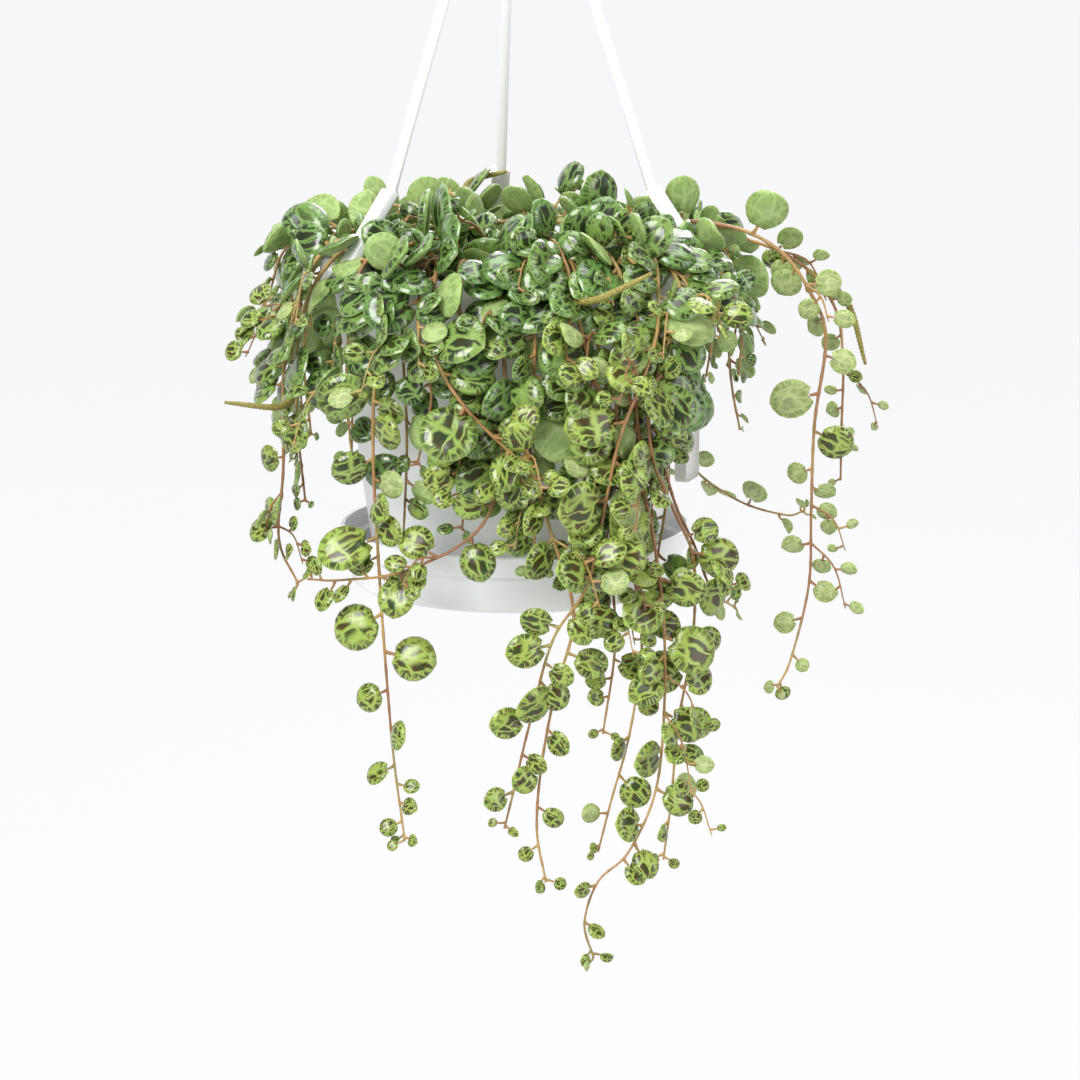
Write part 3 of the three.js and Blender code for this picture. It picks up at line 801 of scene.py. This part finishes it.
class Grower:
    """Chooses where a strand's leaves go: one at each joint, as its solid has them, and more between
    the joints, on short side shoots and round the tip."""

    TRIES = 7
    # A leaf with more trouble than this is made smaller, or left out.
    CRAMPED = 4
    HOPELESS = 7
    UNDERSIDE_SHARE = 0.1

    def __init__(self, strand, foliage, plant):
        self.strand = strand
        self.foliage = foliage
        self.plant = plant
        self.roll = dice(5000 + strand.seed)
        self.leaves = []
        self.shoots = []
        self.trailing = strand.name in TRAILS
        self.on_top = strand.name.startswith("crown")

    def size_at(self, share):
        slight = 0.8 if self.strand.name in FACING else 1.0
        return slight * self.strand.leaf * (1 - 0.65 * share**4)

    def place(self, stem, along, sign, size, share, draw, lift=LIFT):
        """Tries a few ways to hold a leaf and keeps the one that is most out of the others' way."""
        roll = self.roll
        facing = FACING.get(self.strand.name)
        options = [leaf_place(stem, along, sign, size, facing, draw, lift)]
        for _ in range(self.TRIES):
            turned_sign = sign if roll() < 0.6 else -sign
            options.append(leaf_place(stem, along, turned_sign, size, facing, roll, lift))
        scores = []
        for k, option in enumerate(options):
            scores.append(self.foliage.trouble(*(np.array(part) for part in option)) + 0.15 * (k > 0))
        best = int(np.argmin(scores))
        stem, side, face, radius, stalk = options[best]
        if scores[best] > self.CRAMPED:
            radius *= 0.78
        if scores[best] > self.HOPELESS or radius < self.plant.leaf_smallest:
            return
        self.foliage.add(np.array(stem), np.array(side), np.array(face), radius, stalk)
        if roll() < self.UNDERSIDE_SHARE:
            face = -face
        self.leaves.append((stem, side, face, radius, stalk, share))

    def grow(self):
        strand, roll = self.strand, self.roll
        main = dice(1000 + strand.seed)
        steps = strand.steps
        for i in range(1, steps):
            share = i / steps
            along = (strand.joints[i + 1] - strand.joints[i - 1]).normalized()
            sign = 1 if i % 2 else -1
            self.place(strand.joints[i], along, sign, self.size_at(share), share, main)
        for i in range(1, steps):
            share = (i + 0.5) / steps
            crowded = 0.45 if not self.trailing or share < 0.3 else 0.3
            if roll() < crowded:
                stem = strand.route.along(share)
                along = (strand.joints[i + 1] - strand.joints[i]).normalized()
                self.place(stem, along, -1 if i % 2 else 1, 0.85 * self.size_at(share), share, roll)
        for i in range(1 if self.on_top else 2, steps - 1):
            share = i / steps
            tangent = (strand.joints[i + 1] - strand.joints[i]).normalized()
            if self.on_top:
                self.add_shoot(strand.joints[i], tangent, share, 1)
                self.add_shoot(strand.joints[i], tangent, share, -1)
            elif roll() < (0.12 if self.trailing and share > 0.45 else 0.34):
                self.add_shoot(strand.joints[i], tangent, share, 0)
        tip = (strand.joints[-1] - strand.joints[-2]).normalized()
        for k in range(3):
            stem = strand.route.along(1 - 0.004 * k)
            self.place(stem, tip, (-1) ** k, self.strand.leaf * (0.2 + 0.06 * k), 1.0, roll)

    def add_shoot(self, foot, tangent, share, turn):
        """A short side shoot with a few young leaves. Most leave the stem outwards and droop; with a
        turn of 1 or -1 it creeps off to one side over the soil."""
        roll = self.roll
        length = (14 + 20 * roll()) * MM
        outward = Vector((foot.x, foot.y, 0)).normalized()
        swing = Vector((roll() - 0.5, roll() - 0.5, roll() - 0.5)) * (0.5 if turn else 1.6)
        start = (0.55 * outward + 0.5 * tangent + swing).normalized()
        droop = Vector((0, 0, -0.75))
        if turn:
            length *= 1.3
            sideways = turn * Vector((0, 0, 1)).cross(outward)
            start = (sideways + (roll() - 0.6) * outward + swing).normalized()
            droop = Vector((0, 0, -0.05))
        middle = foot + 0.45 * length * start
        end = middle + 0.55 * length * (0.45 * start + droop).normalized()
        route = Route([foot, middle, end])
        path = [route.along(k / 10) for k in range(11)]
        if self.foliage.in_hardware(np.array([tuple(p) for p in path[2:]])).any():
            return
        self.shoots.append((path, share))
        count = max(2, round(length / (7 * MM)))
        for k in range(1, count + 1):
            place = k / (count + 0.3)
            along = (route.along(place + 0.05) - route.along(place - 0.05)).normalized()
            size = self.size_at(share) * (0.8 - 0.34 * place)
            onwards = min(1, share + 0.4 * place)
            lift = CREEPING_LIFT if turn else LIFT
            self.place(route.along(place), along, (-1) ** k, size, onwards, roll, lift)


# ------------------------------------------------------------------------------------ leaf forms


def leaf_form(name, dome, notch, fold):
    """One leaf of radius 1: its stalk joins near x = -1 and its upper side faces +Z."""
    deselect()
    bpy.ops.mesh.primitive_uv_sphere_add(segments=16, ring_count=6, radius=1.0)
    leaf = bpy.context.object
    leaf.name = name
    mesh = leaf.data

    def pick(test):
        bpy.ops.object.mode_set(mode="OBJECT")
        for part in (mesh.polygons, mesh.edges, mesh.vertices):
            part.foreach_set("select", [False] * len(part))
        for vertex in mesh.vertices:
            vertex.select = test(vertex.co)
        bpy.ops.object.mode_set(mode="EDIT")
        bpy.ops.mesh.select_mode(type="VERT")

    origin = (0, 0, 0)
    pick(lambda v: v.z > 0.01)
    bpy.ops.transform.resize(value=(1, 1, dome), center_override=origin)
    pick(lambda v: v.z < -0.01)
    bpy.ops.transform.resize(value=(1, 1, 0.13), center_override=origin)
    pick(lambda v: 0.4 < math.hypot(v.x, v.y) < 0.6)
    bpy.ops.transform.resize(value=(1.18, 1.18, 1), center_override=origin)
    pick(lambda v: 0.8 < math.hypot(v.x, v.y) < 0.95)
    bpy.ops.transform.resize(value=(1.06, 1.06, 1), center_override=origin)
    pick(lambda v: math.hypot(v.x, v.y) < 0.01 and v.z > 0)
    bpy.ops.transform.translate(value=(0, 0, -0.05 * dome))
    pick(lambda v: v.x < -0.9 and abs(v.y) < 0.05)
    bpy.ops.transform.translate(value=(notch, 0, 0))
    pick(lambda v: v.x < -0.8 and abs(v.y) > 0.3)
    bpy.ops.transform.translate(value=(-0.25 * notch, 0, 0))
    pick(lambda v: v.x > 0.9 and abs(v.y) < 0.05)
    bpy.ops.transform.translate(value=(0.05, 0, -0.02))
    for sign in (1, -1):
        pick(lambda v: sign * v.y > 0.05)
        bpy.ops.transform.rotate(value=-sign * fold, orient_axis="X", center_override=origin)
    bpy.ops.object.mode_set(mode="OBJECT")
    mesh.uv_layers.new(name="leaf_disc")
    while len(mesh.uv_layers) > 1:
        mesh.uv_layers.remove(next(layer for layer in mesh.uv_layers if layer.name != "leaf_disc"))
    disc = mesh.uv_layers["leaf_disc"]
    for loop in mesh.loops:
        place = mesh.vertices[loop.vertex_index].co
        flat = math.hypot(place.y, place.z if fold else 0) * (1 if place.y > 0 else -1)
        disc.data[loop.index].uv = (0.5 + 0.5 * place.x, 0.5 + 0.5 * (flat if fold else place.y))
    for key in ("leaf_seed", "leaf_age_and_shade", "leaf_tint"):
        mesh.attributes.new(key, "FLOAT", "POINT")
    smooth(leaf, 80)
    return leaf


def leaf_copy(form, leaf, name, colours):
    stem, side, face, radius, stalk, share = leaf
    across = face.cross(side)
    seed, age_and_shade, tint, slim = colours
    turn = Matrix((side * radius, across * radius * slim, face * radius)).transposed().to_4x4()
    turn.translation = stem + (stalk + radius) * side
    mesh = form.data.copy()
    mesh.transform(turn)
    for key, value in (("leaf_seed", seed), ("leaf_age_and_shade", age_and_shade), ("leaf_tint", tint)):
        mesh.attributes[key].data.foreach_set("value", [value] * len(mesh.vertices))
    copy = bpy.data.objects.new(name, mesh)
    bpy.context.scene.collection.objects.link(copy)
    return copy


class Garden:
    """What all strands share: the forms of the leaves, the materials and the leaves placed so far."""

    # Leaves nearer to the pot's axis than this get older, darker colours: painted shade for the leaves
    # deep in the plant.
    SHADE_RADIUS = 90

    def __init__(self, plant):
        self.plant = plant
        self.strands = all_strands(plant.joint_spacing)
        self.foliage = Foliage(self.strands)
        self.skins = [stem_skin(plant), spike_skin(plant)]
        blade = [leaf_top(plant), leaf_under(plant)]
        shapes = {
            "round": (0.34, 0.10, 0.0),
            "heart": (0.27, 0.22, 0.14),
            "cupped": (0.30, 0.12, 0.30),
            "folded": (0.22, 0.06, 0.62),
        }
        self.forms = []
        for name, (dome, notch, fold) in shapes.items():
            form = leaf_form(name, dome, notch, fold)
            form.data.materials.append(blade[0])
            form.data.materials.append(blade[1])
            for face in form.data.polygons:
                face.material_index = 0 if face.normal.z > 0 else 1
            self.forms.append(form)

    def grow(self, strand):
        roll = dice(9000 + strand.seed)
        grower = Grower(strand, self.foliage, self.plant)
        grower.grow()
        copies = []
        lines = [self.stem_line(strand)]
        for path, share in grower.shoots:
            thick = self.plant.stem_radius * (0.75 - 0.25 * share)
            lines.append([(point, thick * (1 - 0.05 * k)) for k, point in enumerate(path)])
        for leaf in grower.leaves:
            stem, side, face, radius, stalk, share = leaf
            young = radius < 3.4 * MM
            form = self.forms[min(3 if young else 2, int(roll() * 1.2 + (2.6 if young else 1.6) * roll()))]
            grown_less_shade = share * strand.route.length / MM
            # Painted shade: leaves deep in the plant are counted as nearer the base, so their colour turns
            # older and darker.
            depth = (self.SHADE_RADIUS - math.hypot(stem.x, stem.y) / MM) / 12
            grown_less_shade -= 80 * min(1.0, max(0.0, depth))
            age_and_shade = min(1.0, max(0.0, 1.0 - grown_less_shade / 100 + 0.6 * (roll() - 0.5)))
            colours = (roll(), age_and_shade, roll(), 0.82 + 0.22 * roll())
            copies.append(leaf_copy(form, leaf, f"{strand.name}_leaf", colours))
            foot = stem + (stalk + 0.16 * radius) * side - 0.05 * radius * face
            bend = 0.5 * (stem + foot) - 0.12 * stalk * face
            thick = (0.34 + 0.04 * radius / MM) * MM
            lines.append([(stem, 1.25 * thick), (bend, 0.95 * thick), (foot, 0.8 * thick)])
        stems = tube(f"{strand.name}_stem", lines)
        stems.data.materials.append(self.skins[0])
        stems.data.shade_smooth()
        parts = [stems, *copies]
        if strand.name in SPIKES:
            spike = tube(f"{strand.name}_spike", [self.spike_line(strand)], 2)
            spike.data.materials.append(self.skins[1])
            spike.data.shade_smooth()
            parts.append(spike)
        piece = joined(parts, f"{strand.name}_strand")
        return finished(piece, None, [f"strand_{strand.name}"])

    def stem_line(self, strand):
        """The stem, thinner towards its tip and a little swollen at each joint."""
        line = []
        count = len(strand.path) - 1
        for k, point in enumerate(strand.path):
            share = k / count
            radius = self.plant.stem_radius * (1 - 0.5 * share)
            joint = abs((share * 2 * strand.steps + 0.5) % 1 - 0.5) < strand.steps / count
            line.append((point, radius * (1.22 if joint else 1.0)))
        return line

    def spike_line(self, strand):
        joint, route = SPIKES[strand.name]
        curve = Route([strand.joints[joint], *(around(*place) for place in route)])
        count = 60
        line = []
        for k in range(count + 1):
            share = k / count
            radius = self.plant.spike_radius * (0.6 + 0.4 * min(1, 5 * share)) * (1 - 0.55 * share**3)
            line.append((curve.along(share), radius * (1.12 if k % 2 else 0.86)))
        return line


garden = None


def the_garden(scene):
    global garden
    if garden is None:
        garden = Garden(scene.turtles_plant)
    return garden


# ------------------------------------------------------------------------------------- operators


class TURTLES_OT_stage(bpy.types.Operator):
    """Adds the camera, the soft lights and the pale floor with its backdrop"""

    bl_idname = "turtles.stage"
    bl_label = "Add Stage"

    def execute(self, context):
        stage = context.scene.turtles_stage
        deselect()
        eye = (stage.aside, -stage.distance, RIM_Z + stage.height)
        bpy.ops.object.camera_add(location=eye, rotation=(math.pi / 2 - stage.pitch, 0, 0))
        camera = context.object
        camera.data.lens = stage.lens
        camera.data.sensor_width = 36
        context.scene.camera = camera
        lights = [
            ("softbox_left", (-0.8, -1.35, 0.85), 1.1, 43),
            ("softbox_right", (1.35, -0.9, 0.15), 1.1, 11),
            ("softbox_top", (0.1, 0.1, 1.0), 1.0, 12),
            ("softbox_back", (0.3, 1.2, 0.5), 0.9, 12),
        ]
        aim = Vector((0, 0, RIM_Z - 0.05))
        for name, place, size, power in lights:
            turn = (aim - Vector(place)).to_track_quat("-Z", "Y").to_euler()
            bpy.ops.object.light_add(type="AREA", location=place, rotation=turn)
            lamp = context.object
            lamp.name = name
            lamp.data.size = size
            lamp.data.energy = power
        world = bpy.data.worlds.new("studio")
        world.use_nodes = True
        nodes, links = world.node_tree.nodes, world.node_tree.links
        fill = nodes["Background"]
        fill.inputs["Color"].default_value = (0.94, 0.96, 1.0, 1)
        fill.inputs["Strength"].default_value = stage.fill
        paper = nodes.new("ShaderNodeBackground")
        paper.inputs["Color"].default_value = (0.955, 0.96, 0.97, 1)
        seen = nodes.new("ShaderNodeMixShader")
        links.new(nodes.new("ShaderNodeLightPath").outputs["Is Camera Ray"], seen.inputs[0])
        links.new(fill.outputs[0], seen.inputs[1])
        links.new(paper.outputs[0], seen.inputs[2])
        links.new(seen.outputs[0], nodes["World Output"].inputs[0])
        context.scene.world = world
        context.scene.view_settings.view_transform = "Standard"
        floor_z = CAD_BOUNDS[0].z - 0.25
        side, front, back, rise = 6.0, -4.0, 3.0, 4.0
        corners = [(0, front, floor_z), (0, back - 1, floor_z)]
        for step in range(1, 13):
            angle = math.radians(7.5 * step)
            corners.append((0, back - 1 + math.sin(angle), floor_z + 1 - math.cos(angle)))
        corners.append((0, back, floor_z + rise))
        floor = traced("floor", corners)
        bpy.ops.mesh.select_all(action="SELECT")
        bpy.ops.transform.translate(value=(-side, 0, 0))
        bpy.ops.mesh.extrude_region_move(TRANSFORM_OT_translate={"value": (2 * side, 0, 0)})
        bpy.ops.mesh.select_all(action="SELECT")
        bpy.ops.mesh.normals_make_consistent(inside=False)
        bpy.ops.object.mode_set(mode="OBJECT")
        smooth(floor, 60)
        shader = Shader("studio_floor")
        grain = shader.noise(shader.object_place(), 3.0, 2.0)
        tone = shader.mix(grain, rgba(stage.floor, 0.985), rgba(stage.floor))
        shader.set(Base_Color=tone, Roughness=0.9)
        shader.set(Emission_Color=(0.97, 0.975, 1.0, 1), Emission_Strength=stage.glow)
        floor.data.materials.append(shader.material)
        return {"FINISHED"}


class TURTLES_OT_pot(bpy.types.Operator):
    """Models the tapered pot with its turned-down lip and drain holes"""

    bl_idname = "turtles.pot"
    bl_label = "Add Pot"

    def execute(self, context):
        pot = context.scene.turtles_pot
        wall = pot.wall
        floor = RIM_Z - POT_HEIGHT
        slope = (pot.wall_top - pot.wall_bottom) / POT_HEIGHT
        lip_low = RIM_Z - pot.lip_depth
        profile = [
            (0, floor),
            (pot.wall_bottom - 2 * MM, floor),
            (pot.wall_bottom, floor + 2 * MM),
            (pot.wall_top - slope * wall, RIM_Z - wall),
            (RIM_RADIUS - wall, RIM_Z - wall),
            (RIM_RADIUS - wall, lip_low),
            (RIM_RADIUS, lip_low),
            (RIM_RADIUS, RIM_Z - 1 * MM),
            (RIM_RADIUS - 1 * MM, RIM_Z),
            (pot.wall_top - wall + 0.8 * MM, RIM_Z),
            (pot.wall_top - wall, RIM_Z - 0.8 * MM),
            (pot.wall_bottom + slope * wall - wall, floor + wall),
            (0, floor + wall),
        ]
        piece = turned("pot_shell", profile, 112)
        for turn in range(4):
            angle = math.radians(45 + 90 * turn)
            place = (22 * MM * math.sin(angle), -22 * MM * math.cos(angle), floor)
            deselect()
            bpy.ops.mesh.primitive_cylinder_add(vertices=32, radius=4 * MM, depth=8 * MM, location=place)
            drill = settle(context.object)
            applied(piece, "BOOLEAN", operation="DIFFERENCE", solver="EXACT", object=drill)
            bpy.data.objects.remove(drill)
        bevelled(piece, 0.3 * MM, 2, 40)
        smooth(piece, 35)
        finished(piece, white_plastic("pot_plastic", pot.plastic, 0.42), ["pot"])
        return {"FINISHED"}


class TURTLES_OT_saucer(bpy.types.Operator):
    """Models the stepped saucer with the ring that the pot stands on"""

    bl_idname = "turtles.saucer"
    bl_label = "Add Saucer"

    def execute(self, context):
        pot = context.scene.turtles_pot
        wall = 1.5 * MM
        floor = SAUCER_BOTTOM + wall
        step = SAUCER_TOP - pot.band
        stand_top = RIM_Z - POT_HEIGHT - 0.3 * MM
        outer = SAUCER_RADIUS
        profile = [
            (0, SAUCER_BOTTOM),
            (outer - 5 * MM, SAUCER_BOTTOM),
            (outer - 3.8 * MM, SAUCER_BOTTOM + 1 * MM),
            (outer - 2.2 * MM, step - 0.6 * MM),
            (outer - 0.6 * MM, step),
            (outer, SAUCER_TOP - 0.5 * MM),
            (outer - 0.5 * MM, SAUCER_TOP),
            (outer - wall, SAUCER_TOP),
            (outer - wall - 0.5 * MM, step + 0.6 * MM),
            (outer - wall - 2.2 * MM, step),
            (outer - wall - 3.8 * MM, floor),
            (pot.stand, floor),
            (pot.stand, stand_top),
            (pot.stand - 3 * MM, stand_top),
            (pot.stand - 3 * MM, floor),
            (0, floor),
        ]
        piece = turned("saucer_dish", profile, 112)
        bevelled(piece, 0.3 * MM, 2, 25)
        smooth(piece, 35)
        finished(piece, white_plastic("saucer_plastic", pot.plastic, 0.38), ["saucer"])
        return {"FINISHED"}


class TURTLES_OT_soil(bpy.types.Operator):
    """Models the mounded potting mix with its lumps"""

    bl_idname = "turtles.soil"
    bl_label = "Add Soil"

    def execute(self, context):
        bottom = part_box("soil")[0].z
        edge = 59.2 * MM
        rings = 14
        mound = []
        for ring in range(rings, -1, -1):
            radius = edge * ring / rings
            mound.append((radius, RIM_Z + soil_height(radius / MM) * MM - 0.5 * MM))
        profile = [(0, bottom), (47 * MM, bottom), *mound]
        piece = turned("potting_mix", profile, 96)
        texture = bpy.data.textures.new("lumps", "CLOUDS")
        texture.noise_scale = 7 * MM
        applied(piece, "DISPLACE", texture=texture, strength=1.8 * MM, mid_level=0.75, direction="Z")
        smooth(piece, 60)
        finished(piece, soil_mix(context.scene.turtles_plant.soil), ["soil"])
        return {"FINISHED"}


class TURTLES_OT_hanger(bpy.types.Operator):
    """Models the hanger: hub, hook and the three arms that clip over the rim"""

    bl_idname = "turtles.hanger"
    bl_label = "Add Hanger"

    def execute(self, context):
        pot = context.scene.turtles_pot
        plastic = white_plastic("hanger_plastic", pot.plastic, 0.34)
        hub_z = RIM_Z + 155 * MM
        hub = turned(
            "hub",
            [
                (0, hub_z - 4 * MM),
                (HUB_RADIUS - 0.5 * MM, hub_z - 4 * MM),
                (HUB_RADIUS, hub_z - 3.5 * MM),
                (HUB_RADIUS, hub_z - 1.5 * MM),
                (3.6 * MM, hub_z + 3 * MM),
                (2.4 * MM, hub_z + 7 * MM),
                (0, hub_z + 7 * MM),
            ],
            48,
        )
        wire, bow = 2 * MM, 11 * MM
        points = [Vector((0, 0, hub_z)), Vector((0, 0, hub_z + 6 * MM))]
        points.append(Vector((3 * MM, 0, hub_z + 13 * MM)))
        for turn in range(-30, 201, 23):
            angle = math.radians(turn)
            points.append(Vector((bow * math.cos(angle), 0, wire - bow + bow * math.sin(angle))))
        curve = Route(points)
        line = [(curve.along(k / 90), wire * (1 if k < 87 else 0.93 - 0.12 * (k - 87))) for k in range(91)]
        hook = tube("hook", [line], 5)
        smooth(hub, 40)
        smooth(hook, 50)
        finished(joined([hub, hook], "hook_and_hub"), plastic, ["hanger_hook"])
        for name, bearing in ARM_BEARINGS.items():
            arm = self.arm(name, bearing, hub_z)
            finished(arm, plastic, [f"hanger_arm_{name}"])
        return {"FINISHED"}

    def arm(self, name, bearing, hub_z):
        """A round spoke that flattens into a paddle, with the clip that holds the lip."""
        top = Vector((6 * MM, 0, hub_z - 5.1 * MM))
        knee = Vector((51 * MM, 0, RIM_Z + 25 * MM))
        bow = top.lerp(knee, 0.5) + Vector((1.2, 0, 0.5)) * MM
        line = []
        for k in range(25):
            t = k / 24
            line.append(((1 - t) ** 2 * top + 2 * t * (1 - t) * bow + t * t * knee, 1.9 * MM))
        spoke = tube(f"{name}_spoke", [line], 5)
        inside = RIM_RADIUS / MM + 0.3
        toe = -7.3
        outline = [
            (49.4, 25.4),
            (52.4, 27.4),
            (inside + 2.4, 3.5),
            (inside + 2.6, 0),
            (inside + 2.2, toe - 2.2),
            (inside - 1.2, toe - 1.8),
            (inside - 1.2, toe),
            (inside, toe),
            (inside, 1),
            (inside - 1, 2.4),
            (49.4, 25.4),
        ]
        half = 3.25 * MM
        paddle = traced(f"{name}_paddle", [(x * MM, -half, RIM_Z + z * MM) for x, z in outline])
        bpy.ops.mesh.select_all(action="SELECT")
        bpy.ops.mesh.remove_doubles(threshold=0.01 * MM)
        bpy.ops.mesh.edge_face_add()
        bpy.ops.mesh.extrude_region_move(TRANSFORM_OT_translate={"value": (0, 2 * half, 0)})
        bpy.ops.mesh.select_all(action="SELECT")
        bpy.ops.mesh.normals_make_consistent(inside=False)
        bpy.ops.object.mode_set(mode="OBJECT")
        bevelled(paddle, 0.55 * MM, 3, 30)
        smooth(spoke, 50)
        smooth(paddle, 40)
        piece = joined([spoke, paddle], f"arm_{name}")
        piece.rotation_euler = (0, 0, math.radians(bearing - 90))
        return settle(piece)


class TURTLES_OT_label(bpy.types.Operator):
    """Models the blank care label on the pot's wall"""

    bl_idname = "turtles.label"
    bl_label = "Add Care Label"

    def execute(self, context):
        low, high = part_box("care_label")
        middle = 0.5 * (low + high)
        bearing = math.radians(70)
        deselect()
        bpy.ops.mesh.primitive_cube_add(size=1, location=middle, rotation=(0, 0, bearing))
        card = context.object
        card.name = "blank_label"
        card.scale = (15 * MM, 0.8 * MM, 24 * MM)
        settle(card)
        bpy.ops.object.mode_set(mode="EDIT")
        bpy.ops.mesh.select_all(action="DESELECT")
        bpy.ops.object.mode_set(mode="OBJECT")
        for edge in card.data.edges:
            a, b = (card.data.vertices[v].co for v in edge.vertices)
            edge.select = (a - b).length < 1 * MM
        bpy.ops.object.mode_set(mode="EDIT")
        bpy.ops.mesh.select_mode(type="EDGE")
        bpy.ops.mesh.bevel(offset=2.5 * MM, segments=6, affect="EDGES")
        bpy.ops.object.mode_set(mode="OBJECT")
        bevelled(card, 0.12 * MM, 2, 40)
        smooth(card, 40)
        finished(card, label_card(context.scene.turtles_pot.card), ["care_label"])
        return {"FINISHED"}


class TURTLES_OT_trails(bpy.types.Operator):
    """Grows the long strands that trail below the pot"""

    bl_idname = "turtles.trails"
    bl_label = "Grow Trails"

    def execute(self, context):
        plants = the_garden(context.scene)
        for strand in plants.strands[: len(TRAILS)]:
            plants.grow(strand)
        return {"FINISHED"}


class TURTLES_OT_skirt(bpy.types.Operator):
    """Grows the shorter strands all round the rim"""

    bl_idname = "turtles.skirt"
    bl_label = "Grow Skirt"

    def execute(self, context):
        plants = the_garden(context.scene)
        for strand in plants.strands[len(TRAILS) : len(TRAILS) + len(SKIRT)]:
            plants.grow(strand)
        return {"FINISHED"}


class TURTLES_OT_crown(bpy.types.Operator):
    """Grows the strands that stay on top of the soil"""

    bl_idname = "turtles.crown"
    bl_label = "Grow Crown"

    def execute(self, context):
        plants = the_garden(context.scene)
        for strand in plants.strands[len(TRAILS) + len(SKIRT) :]:
            plants.grow(strand)
        for form in plants.forms:
            bpy.data.objects.remove(form)
        return {"FINISHED"}


OPERATORS = [
    TURTLES_OT_stage,
    TURTLES_OT_pot,
    TURTLES_OT_saucer,
    TURTLES_OT_soil,
    TURTLES_OT_hanger,
    TURTLES_OT_label,
    TURTLES_OT_trails,
    TURTLES_OT_skirt,
    TURTLES_OT_crown,
]


class TURTLES_PT_panel(bpy.types.Panel):
    bl_idname = "TURTLES_PT_panel"
    bl_label = "String of Turtles"
    bl_space_type = "VIEW_3D"
    bl_region_type = "UI"
    bl_category = "Turtles"

    def draw(self, context):
        for group in ("turtles_pot", "turtles_plant", "turtles_stage"):
            settings = getattr(context.scene, group)
            for key in settings.__annotations__:
                self.layout.prop(settings, key)
        for operator in OPERATORS:
            self.layout.operator(operator.bl_idname)


GROUPS = {"turtles_pot": TurtlesPot, "turtles_plant": TurtlesPlant, "turtles_stage": TurtlesStage}


def register():
    for kind in (*GROUPS.values(), *OPERATORS, TURTLES_PT_panel):
        bpy.utils.register_class(kind)
    for name, kind in GROUPS.items():
        setattr(bpy.types.Scene, name, bpy.props.PointerProperty(type=kind))


def unregister():
    for name in GROUPS:
        delattr(bpy.types.Scene, name)
    for kind in (TURTLES_PT_panel, *reversed(OPERATORS), *reversed(GROUPS.values())):
        bpy.utils.unregister_class(kind)


def main():
    register()
    for operator in OPERATORS:
        group, name = operator.bl_idname.split(".")
        getattr(getattr(bpy.ops, group), name)()
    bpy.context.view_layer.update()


if __name__ == "__main__":
    main()
